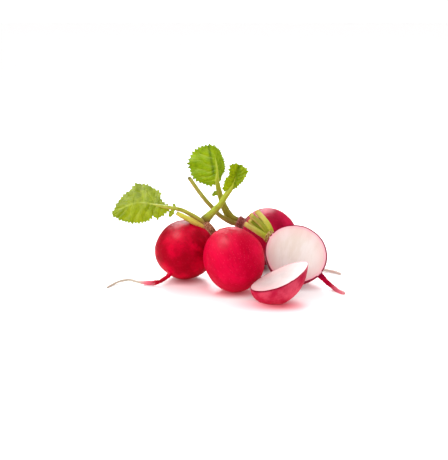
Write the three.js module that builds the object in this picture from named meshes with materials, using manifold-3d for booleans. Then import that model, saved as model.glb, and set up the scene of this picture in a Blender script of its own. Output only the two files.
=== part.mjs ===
// A loose bunch of small round radishes lying on a table: three whole ones, one cut in half
// and the slice that came off it. Millimetres, +Z up, table at z = 0, seen from -Y.
import * as THREE from 'three';
import { mergeVertices } from 'three/addons/utils/BufferGeometryUtils.js';
import Module from 'manifold-3d';

const wasm = await Module();
wasm.setup();

// ---- driving dimensions ----
const gap = 0.4;               // clear space kept between pieces that touch in life
const bladeThickness = 0.7;    // leaf blades
const neckFlare = 2.6;         // extra radius where a ball draws in to its root, at most
const rootSides = 26;          // faces round a root
const tailStep = 1.9;          // between the rings of a tail
const stalkSides = 10;
const stalkStep = 2.4;         // between the rings of a stalk
const cutterSize = 60;         // blocks that cut are wider than any root
const tableSize = 400;
const centre = [1.3, -14.6];   // middle of the base, taken off every x and y

const skin = { color: 0xd0103c, roughness: 0.35 };
const flesh = { color: 0xf6ede2, roughness: 0.5 };
const stalkGreen = { color: 0xa9b545, roughness: 0.5 };
const leafGreen = { color: 0x8fb021, roughness: 0.55 };

// Each root: a point towards the crown, the heart of the ball, its neck, then the tail as
// [x, y, z, radius]. The collar is the ring of leaf scars: its radius, and how far it stands
// out of the ball. flare is the extra radius at the neck where it isn't neckFlare.
// stretch lists [direction, factor] about the heart, because no radish is a true ball.
const leftRoot = {
  crown: [-7.0, -6.9, 24.5], heart: [-18.1, -12.6, 13.9], neck: [-25.3, -21.6, 4.7], radius: 14.0,
  tail: [[-27.0, -22.3, 3.4, 0.85], [-29.4, -22.7, 1.9, 0.9], [-32.4, -23.3, 1.3, 1.1],
    [-35.4, -23.0, 1.15, 1.05], [-38.2, -22.1, 1.0, 0.75], [-41.0, -20.9, 1.1, 0.55],
    [-44.0, -19.2, 1.3, 0.6], [-47.4, -19.5, 1.0, 0.6], [-50.6, -22.3, 0.7, 0.55],
    [-53.7, -27.5, 0.45, 0.4]],
  neckRadius: 1.0, collar: [4.1, 3.2], flare: 0.9, stretch: [],
};
const frontRoot = {
  crown: [-0.4, -15.3, 22.1], heart: [4.8, -28.7, 14.3], neck: [13.9, -34.0, 5.3], radius: 14.25,
  tail: [[15.6, -34.7, 3.6, 1.2], [17.2, -34.7, 2.4, 0.9]],
  neckRadius: 1.6, collar: [3.3, 2.1],
  stretch: [[[0.58, -0.78, 0.25], 0.935], [[0.62, 0.62, 0.49], 0.975], [[-0.53, -0.13, 0.84], 1.033]],
};
const backRoot = {
  crown: [6.9, 11.1, 20.9], heart: [21.9, 9.2, 14.0], neck: [34.8, 6.6, 7.6], radius: 14.2,
  tail: [[38.4, 4.6, 4.7, 1.3], [43.2, 0.4, 1.7, 0.9], [49.0, -3.9, 0.9, 0.7],
    [52.7, -5.7, 0.75, 0.65], [56.4, -9.0, 0.55, 0.5]],
  neckRadius: 1.7, collar: [3.3, 3.2], stretch: [],
};
const halfRoot = {
  crown: [20.6, -13.8, 21.4], heart: [33.0, -20.6, 13.9], neck: [43.6, -26.8, 6.0], radius: 13.7,
  tail: [[45.9, -27.2, 3.7, 1.05], [48.1, -28.4, 2.1, 0.95], [50.0, -31.4, 1.2, 0.92],
    [52.5, -34.7, 1.0, 0.9]],
  neckRadius: 1.2, collar: [2.9, 2.1], flare: 1.0,
  stretch: [[[0.8, -0.27, -0.53], 1.05], [[0.98, -0.1, 0.1], 1.02]],
};

// The knife: a plane that faces the viewer and leans back, a little in front of the heart.
const knifeNormal = [-0.09, -0.861, 0.5];
const knifeOffset = 2.5;
const knifeReach = 15.4;       // the cut ends this far down the root, which stays whole

// The slice that came off: a cap whose face is tipped to the left. rim gives the radius of the
// face in each direction, in degrees from its right-hand side towards its back. The sides run
// down from the rim to the foot, just under the table.
const slice = {
  face: [24.9, -44.8, 11.4], normal: [-0.388, -0.1, 0.92], foot: [24.0, -45.0, -0.6],
  rim: [[3, 11.6], [14, 13.2], [22, 14.1], [30, 13.8], [42, 12.8], [60, 11.8], [80, 10.8],
    [103, 10.2], [128, 11.3], [148, 13.1], [160, 14.5], [168, 14.9], [178, 14.2], [190, 12.8],
    [205, 11.1], [230, 8.9], [264, 7.6], [298, 7.3], [335, 8.8]],
};
const rimStep = 1.5;           // degrees between the radii read off the rim
const rimEvery = 8;            // of those, the ones that become corners
const sliceRings = 9;

// ---- solids from rings, joined and cut ----
const vector = (p) => new THREE.Vector3(p[0], p[1], p[2]);

function toManifold(geometry) {
  const bare = geometry.clone();
  bare.deleteAttribute('normal');
  bare.deleteAttribute('uv');
  const merged = mergeVertices(bare, 1e-4);
  return new wasm.Manifold(new wasm.Mesh({
    numProp: 3,
    vertProperties: new Float32Array(merged.attributes.position.array),
    triVerts: new Uint32Array(merged.index.array),
  }));
}

function toGeometry(manifold) {
  const mesh = manifold.getMesh();
  const geometry = new THREE.BufferGeometry();
  geometry.setAttribute('position', new THREE.BufferAttribute(mesh.vertProperties, 3));
  geometry.setIndex(new THREE.BufferAttribute(mesh.triVerts, 1));
  geometry.computeVertexNormals();
  return geometry;
}

// Rings of equal length become a tube, closed by a fan to a point at each end.
function skinRings(first, rings, last) {
  const sides = rings[0].length;
  const points = [first, ...rings.flat(), last];
  const faces = [];
  for (let k = 0; k < sides; k += 1) {
    const next = (k + 1) % sides;
    faces.push(0, 1 + next, 1 + k);
    for (let i = 0; i < rings.length - 1; i += 1) {
      const a = 1 + i * sides;
      const b = a + sides;
      faces.push(a + k, a + next, b + next, a + k, b + next, b + k);
    }
    const end = 1 + (rings.length - 1) * sides;
    faces.push(end + k, end + next, points.length - 1);
  }
  const geometry = new THREE.BufferGeometry();
  geometry.setAttribute('position', new THREE.Float32BufferAttribute(
    points.flatMap((p) => [p.x, p.y, p.z]), 3));
  geometry.setIndex(faces);
  return toManifold(geometry);
}

// A smooth curve through points, read by its length in millimetres.
function spine(points) {
  const curve = new THREE.CatmullRomCurve3(points.map(vector), false, 'centripetal');
  const perPoint = 40;
  curve.arcLengthDivisions = perPoint * (points.length - 1);
  const table = curve.getLengths();
  const length = table[table.length - 1];
  return {
    length,
    lengthAtPoint: (i) => table[perPoint * i],
    at: (d) => curve.getPointAt(THREE.MathUtils.clamp(d / length, 0, 1)),
    along: (d) => curve.getTangentAt(THREE.MathUtils.clamp(d / length, 0, 1)),
  };
}

// One cross-section of a sweep: shape(angle) scales the radius, side sets where angle 0 lies.
function ring(line, d, radius, sides, side, shape = () => 1) {
  const middle = line.at(d);
  const along = line.along(d);
  const across = side.clone().addScaledVector(along, -side.dot(along)).normalize();
  const over = along.clone().cross(across);
  return Array.from({ length: sides }, (_, k) => {
    const angle = (2 * Math.PI * k) / sides;
    const r = radius * shape(angle);
    return middle.clone().addScaledVector(across, r * Math.cos(angle))
      .addScaledVector(over, r * Math.sin(angle));
  });
}

// ---- roots: crown collar, ball, neck and tail swept as one piece ----
function rootSolid(spec, grow = 0) {
  const heart = vector(spec.heart);
  const [collarRadius, collarLength] = spec.collar;
  const crownAt = spec.radius + collarLength;
  const beyondCrown = vector(spec.crown).sub(heart).setLength(crownAt + 1).add(heart);
  const line = spine([beyondCrown.toArray(), spec.heart, spec.neck, ...spec.tail]);
  const heartAt = line.lengthAtPoint(1);
  const radii = [spec.neckRadius, ...spec.tail.map((p) => p[3])];
  const places = radii.map((_, i) => line.lengthAtPoint(i + 2) - heartAt);

  const tailRadius = (d) => {
    const last = places.length - 1;
    if (d <= places[0]) return radii[0];
    const i = places.findIndex((p) => p > d);
    if (i < 0) return radii[last];
    const f = THREE.MathUtils.smoothstep(d, places[i - 1], places[i]);
    return THREE.MathUtils.lerp(radii[i - 1], radii[i], f);
  };
  // Ball, collar and neck melt into each other: fourth powers added, fourth root taken.
  const radiusAt = (d) => {
    const ball = spec.radius * Math.sqrt(Math.max(0, 1 - (d / spec.radius) ** 2));
    const flare = Math.min(1, Math.exp(-(d - 0.85 * spec.radius) / (0.13 * spec.radius)));
    const other = d < 0 ? collarRadius : tailRadius(d) + (spec.flare ?? neckFlare) * flare;
    return (ball ** 4 + other ** 4) ** 0.25;
  };

  const top = -crownAt - grow;
  const stations = [top + 0.25, top + 0.9, -0.99 * spec.radius];
  for (let turn = -75; turn <= 75; turn += 12.5) {
    stations.push(spec.radius * Math.sin(THREE.MathUtils.degToRad(turn)));
  }
  stations.push(0.995 * spec.radius, 1.03 * spec.radius);
  const tailEnd = line.length - heartAt - 0.35;
  const tailStart = 1.1 * spec.radius;
  const tailSteps = Math.max(3, Math.round((tailEnd - tailStart) / tailStep));
  for (let i = 0; i <= tailSteps; i += 1) {
    stations.push(tailStart + ((tailEnd - tailStart) * i) / tailSteps);
  }

  const side = new THREE.Vector3(0.1, -1, 0.35);
  const lobes = (angle) => 1 + 0.012 * Math.cos(2 * angle + spec.radius)
    + 0.008 * Math.cos(3 * angle);
  const rings = stations.map((d, i) => {
    const rim = i === 0 ? 0.72 : 1;
    return ring(line, d + heartAt, radiusAt(d) * rim + grow, rootSides, side, lobes);
  });
  const first = line.at(top + heartAt);
  const last = line.at(line.length);
  for (const [direction, factor] of spec.stretch) {
    const way = vector(direction).normalize();
    for (const p of [first, last, ...rings.flat()]) {
      p.addScaledVector(way, (factor - 1) * p.clone().sub(heart).dot(way));
    }
  }
  return skinRings(first, rings, last);
}

// ---- cutting blocks ----
// A square block whose face lies on the plane through point, on the side normal points to.
function block(point, normal, size, across = [1, 0, 0]) {
  const out = vector(normal).normalize();
  const right = vector(across).addScaledVector(out, -vector(across).dot(out)).normalize();
  const up = out.clone().cross(right);
  const geometry = new THREE.BoxGeometry(size, size, size / 2);
  const place = new THREE.Matrix4().makeBasis(right, up, out);
  place.setPosition(vector(point).addScaledVector(out, size / 4));
  geometry.applyMatrix4(place);
  return toManifold(geometry);
}

const belowTable = block([0, 0, 0], [0, 0, -1], tableSize);

// ---- stalks: half-round, with a shallow groove along the upper side ----
function stalkSolid(path, grow = 0) {
  const line = spine(path);
  const places = path.map((_, i) => line.lengthAtPoint(i));
  const radiusAt = (d) => {
    const i = Math.min(places.length - 1, Math.max(1, places.findIndex((p) => p >= d - 1e-6)));
    const f = (d - places[i - 1]) / (places[i] - places[i - 1]);
    return THREE.MathUtils.lerp(path[i - 1][3], path[i][3], THREE.MathUtils.clamp(f, 0, 1));
  };
  const steps = Math.max(4, Math.round(line.length / stalkStep));
  const side = new THREE.Vector3(-0.25, 0.55, 1);
  const groove = (angle) => 1 - 0.22 * Math.max(0, Math.cos(angle)) ** 3;
  const rings = Array.from({ length: steps + 1 }, (_, i) => {
    const d = (line.length * i) / steps;
    return ring(line, d, radiusAt(d) + grow, stalkSides, side, groove);
  });
  const first = line.at(0).addScaledVector(line.along(0), -grow);
  return skinRings(first, rings, line.at(line.length).addScaledVector(line.along(line.length), grow));
}

// ---- blades ----
// rib, left and right are outlines on the blade's own plane: [along, across] in millimetres.
// Rows run from rib to margin and every second row ends in a tooth. Each half is turned back
// about the rib by its fold, and lift(along, across) bends the whole. The upper and lower
// faces are the same net, half a thickness to each side along its own normals.
function bladeAxes(spec) {
  const out = vector(spec.out).normalize();
  const along = vector(spec.along).addScaledVector(out, -vector(spec.along).dot(out)).normalize();
  return { base: vector(spec.base), along, across: along.clone().cross(out), out };
}

const outline = (list) => new THREE.SplineCurve(list.map(([x, y]) => new THREE.Vector2(x, y)));

function bladeSolid(spec) {
  const { base, along, across, out } = bladeAxes(spec);
  const [left, rib, right] = [spec.left, spec.rib, spec.right].map(outline);
  const folds = spec.fold.map(THREE.MathUtils.degToRad);
  const rows = 2 * spec.teeth + 1;
  const columns = 2 * spec.cells + 1;

  const margin = (curve, t, way, tooth) => {
    const run = curve.getTangentAt(t);
    return curve.getPointAt(t).add(new THREE.Vector2(-run.y, run.x).multiplyScalar(way * tooth));
  };
  const net = [];
  for (let i = 0; i < rows; i += 1) {
    const t = i / (rows - 1);
    const tooth = i % 2 ? spec.toothDepth : 0;
    const ribPoint = rib.getPointAt(t);
    const ends = [margin(left, t, -1, tooth), margin(right, t, 1, tooth)];
    for (let j = -spec.cells; j <= spec.cells; j += 1) {
      const half = j < 0 ? 0 : 1;
      const p = ribPoint.clone().lerp(ends[half], Math.abs(j) / spec.cells);
      const reach = p.y - ribPoint.y;
      const sideways = ribPoint.y + reach * Math.cos(folds[half]);
      const back = Math.abs(reach) * Math.sin(folds[half]);
      net.push(base.clone().addScaledVector(along, p.x).addScaledVector(across, sideways)
        .addScaledVector(out, spec.lift(p.x, p.y) - back));
    }
  }
  const top = [];
  for (let i = 0; i < rows - 1; i += 1) {
    for (let j = 0; j < columns - 1; j += 1) {
      const a = i * columns + j;
      top.push(a, a + columns, a + columns + 1, a, a + columns + 1, a + 1);
    }
  }
  const sheet = new THREE.BufferGeometry().setFromPoints(net);
  sheet.setIndex(top);
  sheet.computeVertexNormals();
  const normals = net.map((_, k) => new THREE.Vector3().fromBufferAttribute(sheet.attributes.normal, k));

  const half = bladeThickness / 2;
  const points = [...net.map((p, k) => p.clone().addScaledVector(normals[k], half)),
    ...net.map((p, k) => p.clone().addScaledVector(normals[k], -half))];
  const under = net.length;
  const faces = [...top];
  for (let k = 0; k < top.length; k += 3) {
    faces.push(under + top[k], under + top[k + 2], under + top[k + 1]);
  }
  const rim = [];
  for (let j = 0; j < columns - 1; j += 1) rim.push(j);
  for (let i = 0; i < rows - 1; i += 1) rim.push(i * columns + columns - 1);
  for (let j = columns - 1; j > 0; j -= 1) rim.push((rows - 1) * columns + j);
  for (let i = rows - 1; i > 0; i -= 1) rim.push(i * columns);
  rim.forEach((a, k) => {
    const b = rim[(k + 1) % rim.length];
    faces.push(a, b, under + b, a, under + b, under + a);
  });
  const geometry = new THREE.BufferGeometry().setFromPoints(points);
  geometry.setIndex(faces);
  return toManifold(geometry);
}

// ---- the pieces ----
const leftRootSolid = rootSolid(leftRoot).subtract(belowTable);
const frontRootSolid = rootSolid(frontRoot).subtract(belowTable);
const backRootSolid = rootSolid(backRoot).subtract(belowTable);

const knifePoint = vector(halfRoot.heart).addScaledVector(vector(knifeNormal).normalize(), knifeOffset);
const halfAxis = vector(halfRoot.neck).sub(vector(halfRoot.crown)).normalize();
const knifeMiddle = knifePoint.clone().addScaledVector(halfAxis, knifeReach - cutterSize / 2);
const knife = block(knifeMiddle.toArray(), knifeNormal, cutterSize, halfAxis.toArray());
const halfRootSolid = rootSolid(halfRoot).subtract(belowTable).subtract(knife);

// Radius of the slice's face in every direction: read between the given ones, then each
// averaged with its neighbours, near and far, so that no corner is left.
function rimRadii() {
  const given = slice.rim;
  const around = [[given.at(-1)[0] - 360, given.at(-1)[1]], ...given, [given[0][0] + 360, given[0][1]]];
  let radii = Array.from({ length: 360 / rimStep }, (_, k) => {
    const i = around.findIndex(([turn]) => turn > k * rimStep);
    const [[from, low], [to, high]] = [around[i - 1], around[i]];
    return THREE.MathUtils.mapLinear(k * rimStep, from, to, low, high);
  });
  for (const shift of [1, 2, 3, 2, 1]) {
    radii = radii.map((r, k) => (radii.at(k - shift) + 2 * r + radii[(k + shift) % radii.length]) / 4);
  }
  return radii;
}

// From the rim each side runs down by a superellipse, fuller on the right than on the left.
function sliceSolid() {
  const out = vector(slice.normal).normalize();
  const right = new THREE.Vector3(0, 1, 0).cross(out).normalize();
  const back = out.clone().cross(right);
  const face = vector(slice.face);
  const fall = vector(slice.foot).sub(face);
  const corners = rimRadii().map((radius, k) => [radius, THREE.MathUtils.degToRad(k * rimStep)])
    .filter((_, k) => k % rimEvery === 0).reverse();
  const rings = Array.from({ length: sliceRings }, (_, i) => {
    const down = (Math.PI / 2) * (i / sliceRings);
    return corners.map(([radius, turn]) => {
      const power = 2 / (2.2 * Math.exp(0.3 * Math.cos(turn) + 0.25 * Math.sin(turn)));
      const outwards = radius * Math.cos(down) ** power;
      return face.clone().addScaledVector(right, outwards * Math.cos(turn))
        .addScaledVector(back, outwards * Math.sin(turn))
        .addScaledVector(fall, Math.sin(down) ** power);
    });
  });
  return skinRings(face, rings, face.clone().add(fall)).subtract(belowTable);
}

// Stalks: [x, y, z, radius] from the crown outwards.
const leftLeafStalk = [[-9.0, -8.4, 25.6, 1.35], [-15.2, -11.8, 30.8, 1.1], [-19.7, -13.2, 33.5, 1.05],
  [-25.8, -15.2, 35.3, 0.95]];
const leftCutStalk = [[-9.9, -12.6, 24.8, 1.45], [-12.9, -14.0, 27.2, 1.4], [-15.8, -14.6, 29.2, 1.4],
  [-19.7, -14.8, 31.3, 1.25], [-21.8, -14.8, 32.5, 1.0]];
const youngLeafStalk = [[-8.7, -7.6, 27.6, 2.1], [-6.6, -8.8, 30.1, 2.0], [-4.1, -9.8, 32.75, 1.7],
  [-1.6, -10.6, 35.8, 1.5], [1.3, -11, 40.6, 1.4], [3.3, -11, 43.2, 1.1]];
const backCutStalk = [[8.4, 10.2, 20.4, 1.3], [4.5, 10.6, 20.8, 1.45], [1.2, 9.8, 22.7, 1.4],
  [-2.5, 9.7, 25.2, 1.2], [-6.1, 8.8, 29.4, 1.15], [-10.3, 8.0, 34.6, 1.1], [-17.0, 6.0, 44.8, 0.95]];
const backLeafStalk = [[8.4, 12.6, 20.7, 1.9], [4.8, 12.6, 22.1, 2.15], [1.75, 13.2, 25.1, 2.05],
  [-0.35, 12.8, 29.6, 1.6], [-2.4, 12.0, 36.4, 1.35], [-3.4, 10.9, 42.4, 1.15]];

// Past the blade's base the stalk runs on as its rib: each entry of ribs is [t, radius].
const ribs = [[0.25, 0.75], [0.5, 0.6], [0.72, 0.48], [0.9, 0.4]];
function withRib(stalk, spec) {
  const { base, along, across, out } = bladeAxes(spec);
  const rib = outline(spec.rib);
  return [...stalk, ...ribs.map(([t, radius]) => {
    const p = rib.getPointAt(t);
    const place = base.clone().addScaledVector(along, p.x).addScaledVector(across, p.y)
      .addScaledVector(out, spec.lift(p.x, p.y));
    return [place.x, place.y, place.z, radius];
  })];
}

function leafFrom(stalk, blades, clearOf) {
  let solid = stalkSolid(withRib(stalk, blades[0]));
  for (const spec of blades) solid = solid.add(bladeSolid(spec));
  for (const other of clearOf) solid = solid.subtract(other);
  return solid;
}

const leftLeafBlade = {
  base: [-25.5, -15.2, 35.2], along: [-0.985, -0.17, 0], out: [0, -0.766, 0.643],
  rib: [[0, 0], [4.5, 1.5], [8.5, 2.8], [14.5, 4], [20, 3], [26.2, 0.2]],
  left: [[0, -0.8], [1.4, -2.4], [4.2, -4], [6, -4.8], [6.6, -2], [8.4, -4], [10.4, -5.2],
    [15.3, -5.4], [21, -3.8], [26, -0.4]],
  right: [[0, 0.8], [1.6, 2.4], [3.5, 5.2], [3.5, 9.2], [7.7, 12.9], [13.2, 16], [16.4, 12.8],
    [20.7, 9.8], [23.4, 5.8], [26.3, 0.9]],
  teeth: 14, toothDepth: 0.6, cells: 3, fold: [10, 10],
  lift: (u, v) => -0.006 * (u - 8) ** 2 - 0.004 * v ** 2 + 0.3 * Math.sin(0.9 * u) * (v / 9) ** 2,
};
const backLeafBlade = {
  base: [-3.4, 10.6, 42], along: [-0.1, -0.1, 1], out: [-0.2, -0.97, 0.1],
  rib: [[0, 0], [3, 0.3], [7, 0.2], [11.7, -0.7], [17.2, -1.7]],
  left: [[-1, -0.9], [-2, -4.6], [-1.2, -7.4], [0.8, -11], [4.8, -13.8], [10, -14.2], [13.9, -12.4],
    [16.6, -8.2], [17.4, -4.2], [17.4, -2.4]],
  right: [[0.2, 0.8], [1.8, 3.6], [4.8, 6.2], [7.4, 6.6], [11.6, 5.2], [14.8, 3], [17.2, -0.9]],
  teeth: 14, toothDepth: 0.6, cells: 3, fold: [8, 64],
  lift: (u, v) => -0.006 * u ** 2 + 0.3 * Math.sin(0.8 * u) * (v / 9) ** 2,
};
const youngLeafBlade = {
  base: [3.2, -11, 43], along: [0.3, -0.05, 1], out: [-0.1, -0.98, 0.15],
  rib: [[0, 0.4], [3.4, 0.4], [8, 0.4], [11.8, 0.2]],
  left: [[-0.4, -0.6], [-1.4, -3.7], [0.6, -4], [2.4, -4.1], [4.4, -3.9], [5, -2.9], [7, -3.3],
    [9.6, -3.7], [11.2, -3.2], [11.9, -0.6]],
  right: [[0.2, 1.3], [2.6, 3.1], [5, 4.6], [8.4, 5.4], [10, 5.6], [11.4, 3.8], [12, 1.2]],
  teeth: 10, toothDepth: 0.5, cells: 3, fold: [-25, -25],
  lift: (u, v) => 0.008 * u ** 2 + 0.01 * v ** 2,
};

// Leaflets: small tongues that stand off the stalk below the blade.
function leaflet(base, along, out, length) {
  const wide = 0.32 * length;
  return {
    base, along, out,
    rib: [[-0.9, 0], [0.5 * length, 0], [length, 0]],
    left: [[-0.9, -0.4], [0.4 * length, -wide], [length, -0.2]],
    right: [[-0.9, 0.4], [0.4 * length, wide], [length, 0.2]],
    teeth: 3, toothDepth: 0.25, cells: 1, fold: [12, 12],
    lift: (u) => -0.05 * u ** 2,
  };
}
const leftLeaflets = [
  leaflet([-22.6, -14.2, 34.8], [-0.45, 0.2, 1], [0, -1, 0.2], 2.0),
  leaflet([-23.4, -15.5, 34.0], [-0.55, -0.4, -0.85], [0, -0.9, 0.3], 3.6),
];
const backLeaflets = [
  leaflet([-2.9, 11.6, 36.6], [-1, -0.1, -0.75], [0, -1, 0.2], 3.7),
  leaflet([-3.0, 11.0, 41.6], [0.7, 0, 1], [0, -1, 0.2], 2.4),
];
const youngLeaflets = [leaflet([2.6, -11, 42.2], [-1, 0, 0.35], [0, -1, 0.2], 1.9)];

const leftRootClear = rootSolid(leftRoot, gap);
const backRootClear = rootSolid(backRoot, gap);
const halfRootClear = rootSolid(halfRoot, gap);
const frontRootClear = rootSolid(frontRoot, gap);

const leftLeafSolid = leafFrom(leftLeafStalk, [leftLeafBlade, ...leftLeaflets], [leftRootClear]);
const leftCutStalkSolid = stalkSolid(leftCutStalk).subtract(leftRootClear)
  .subtract(stalkSolid(leftLeafStalk, gap));
const youngLeafSolid = leafFrom(youngLeafStalk, [youngLeafBlade, ...youngLeaflets],
  [leftRootClear, stalkSolid(leftLeafStalk, gap), stalkSolid(leftCutStalk, gap)]);
const backLeafSolid = leafFrom(backLeafStalk, [backLeafBlade, ...backLeaflets], [backRootClear]);
const backCutStalkSolid = stalkSolid(backCutStalk).subtract(backRootClear)
  .subtract(stalkSolid(backLeafStalk, gap));

const halfStubs = [
  [[22.4, -13.4, 20.6, 1.6], [20.0, -11.8, 26.7, 1.6], [15.6, -8.4, 31.6, 1.45]],
  [[21.8, -14.0, 20.4, 1.6], [17.6, -12.2, 26.1, 1.5], [12.4, -9.6, 30.4, 1.2]],
  [[21.4, -14.0, 20.6, 1.4], [17.0, -12.6, 24.1, 1.35], [12.0, -10.0, 27.8, 1.2]],
  [[21.3, -14.8, 19.9, 1.6], [16.3, -13.6, 23.0, 1.55], [10.0, -10.8, 26.2, 1.3]],
];
const halfStubsSolid = halfStubs.map((path) => stalkSolid(path)).reduce((a, b) => a.add(b))
  .subtract(halfRootClear);

const frontStubs = [
  [[0.4, -17.7, 22.0, 1.25], [-1.2, -13.9, 23.4, 1.2], [-1.7, -12.3, 23.6, 1.1]],
  [[0.4, -17.3, 21.6, 1.25], [1.4, -12.9, 22.6, 1.2], [1.7, -11.1, 22.8, 1.1]],
  [[-0.2, -17.5, 21.2, 1.2], [-0.6, -12.5, 21.0, 1.1], [-0.8, -10.3, 20.6, 1.0]],
];
const frontStubsSolid = frontStubs.map((path) => stalkSolid(path)).reduce((a, b) => a.add(b))
  .subtract(frontRootClear);

// ---- the assembly ----
const bunch = new THREE.Group();

function place(name, manifold, look) {
  const geometry = toGeometry(manifold);
  geometry.translate(-centre[0], -centre[1], 0);
  const mesh = new THREE.Mesh(geometry, new THREE.MeshStandardMaterial({ metalness: 0, ...look }));
  mesh.name = name;
  bunch.add(mesh);
}

place('left_root', leftRootSolid, skin);
place('left_leaf', leftLeafSolid, leafGreen);
place('left_young_leaf', youngLeafSolid, leafGreen);
place('left_cut_stalk', leftCutStalkSolid, stalkGreen);
place('front_root', frontRootSolid, skin);
place('front_stalk_stubs', frontStubsSolid, stalkGreen);
place('back_root', backRootSolid, skin);
place('back_leaf', backLeafSolid, leafGreen);
place('back_cut_stalk', backCutStalkSolid, stalkGreen);
place('half_root', halfRootSolid, skin);
place('half_stalk_stubs', halfStubsSolid, stalkGreen);
place('cut_slice', sliceSolid().subtract(frontRootClear), flesh);

export default bunch;
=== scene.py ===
import math
import bmesh
import bpy
import numpy as np
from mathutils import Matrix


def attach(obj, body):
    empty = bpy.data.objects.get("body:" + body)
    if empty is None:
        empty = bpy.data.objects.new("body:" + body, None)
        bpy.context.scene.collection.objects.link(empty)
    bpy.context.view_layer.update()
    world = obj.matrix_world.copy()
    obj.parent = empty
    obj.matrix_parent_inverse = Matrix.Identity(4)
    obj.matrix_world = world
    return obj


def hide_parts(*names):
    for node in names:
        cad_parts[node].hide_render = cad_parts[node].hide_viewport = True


# A small bunch of round radishes on a white table: whole ones, one cut in half, and its slice.
# Shapes are worked out in millimetres on the drawing's own axes, then moved and made metres.

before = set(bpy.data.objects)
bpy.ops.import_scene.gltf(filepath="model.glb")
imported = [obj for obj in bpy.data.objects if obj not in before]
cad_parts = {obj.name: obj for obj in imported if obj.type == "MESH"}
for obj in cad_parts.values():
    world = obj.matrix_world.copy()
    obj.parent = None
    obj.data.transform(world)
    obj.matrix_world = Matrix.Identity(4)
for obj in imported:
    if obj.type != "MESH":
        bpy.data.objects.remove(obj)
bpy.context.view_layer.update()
millimetre = 0.001
weldDistance = 2e-6                       # metres; nearer points than this become one
baseMiddle = np.array([1.3, -14.6, 0.0])  # middle of the base on the drawing's axes
print("frame loaded,", len(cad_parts), "solids")


def unit(v):
    # Length one, same direction.
    v = np.asarray(v, float)
    return v / np.linalg.norm(v, axis=-1, keepdims=True)


def rise(x, low, high):
    # S-shaped step: 0 up to low, 1 from high on.
    t = np.clip((x - low) / (high - low), 0, 1)
    return t * t * (3 - 2 * t)


def ripple(places, size, seed, waves=14):
    # Soft unevenness of about +-1: plane waves of about one length, in random directions, added.
    draw = np.random.default_rng(seed)
    ways = unit(draw.normal(size=(waves, 3)))
    turns = 2 * np.pi / (size * draw.uniform(0.7, 1.5, waves))
    starts = draw.uniform(0, 2 * np.pi, waves)
    return np.cos(places @ (ways * turns[:, None]).T + starts).sum(axis=-1) / math.sqrt(waves)


def spans(points, perSpan, slopes):
    # A cubic over every span but the first and last, which only steer the ends: each leaves
    # its first point and reaches its last along the slopes worked out from four neighbours.
    count = len(points) - 3
    a, b, c, d = (points[k:k + count, None, :] for k in range(4))
    start, end = slopes(a, b, c, d)
    w = np.linspace(0, 1, perSpan, endpoint=False)[None, :, None]
    q = b + start * w + (3 * (c - b) - 2 * start - end) * w**2 + (2 * (b - c) + start + end) * w**3
    q = np.vstack([q.reshape(-1, points.shape[1]), points[-2]])
    return q, np.concatenate([[0.0], np.cumsum(np.linalg.norm(np.diff(q, axis=0), axis=1))])


def reading(place, places, values):
    # Every column of values, read between the places where it is given.
    return np.stack([np.interp(place, places, column) for column in values.T], axis=-1)


class Line:
    # A smooth curve through points (centripetal Catmull-Rom), read by its length.
    def __init__(self, points, perSpan=160):
        p = np.asarray([q[:3] for q in points], float)
        p = np.vstack([2 * p[0] - p[1], p, 2 * p[-1] - p[-2]])

        def slopes(a, b, c, d):
            g0, g1, g2 = (np.sqrt(np.linalg.norm(gap, axis=-1, keepdims=True))
                          for gap in (b - a, c - b, d - c))
            start = ((b - a) / g0 - (c - a) / (g0 + g1) + (c - b) / g1) * g1
            return start, ((c - b) / g1 - (d - b) / (g1 + g2) + (d - c) / g2) * g1

        self.points, self.lengths = spans(p, perSpan, slopes)
        self.length = self.lengths[-1]
        self.stations = self.lengths[::perSpan]  # length at each given point

    def at(self, d):
        return reading(d, self.lengths, self.points)

    def frameAt(self, d, side, step=0.3):
        # Middle of the curve and two square directions; the first is the nearest to side.
        along = unit(self.at(np.minimum(d + step, self.length)) - self.at(np.maximum(d - step, 0)))
        across = unit(side - along * np.sum(along * side, axis=-1, keepdims=True))
        return self.at(d), across, np.cross(along, across)


def outline(points, t, perSpan=200, step=0.004):
    # Flat curve through points (uniform Catmull-Rom, ends doubled) at shares t of its length,
    # and its direction there: the difference between a step ahead and a step back.
    p = np.asarray([points[0], *points, points[-1]], float)
    q, lengths = spans(p, perSpan, lambda a, b, c, d: ((c - a) / 2, (d - b) / 2))
    shares = lengths / lengths[-1]
    place, ahead, back = (reading(share, shares, q) for share in
                          (t, np.minimum(t + step, 1), np.maximum(t - step, 0)))
    return place, unit(ahead - back)


def netFaces(rows, columns, start=0, closed=False):
    # Quads between neighbouring rows of a net; closed joins the last column to the first.
    i = np.arange(rows - 1)[:, None]
    j = np.arange(columns if closed else columns - 1)[None, :]
    k = (j + 1) % columns
    quads = [i * columns + j, i * columns + k, (i + 1) * columns + k, (i + 1) * columns + j]
    return np.stack(quads, axis=-1).reshape(-1, 4) + start


def linked(name, data):
    # An object of the scene, with that mesh, lamp or lens.
    made = bpy.data.objects.new(name, data)
    bpy.context.scene.collection.objects.link(made)
    return made


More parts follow.
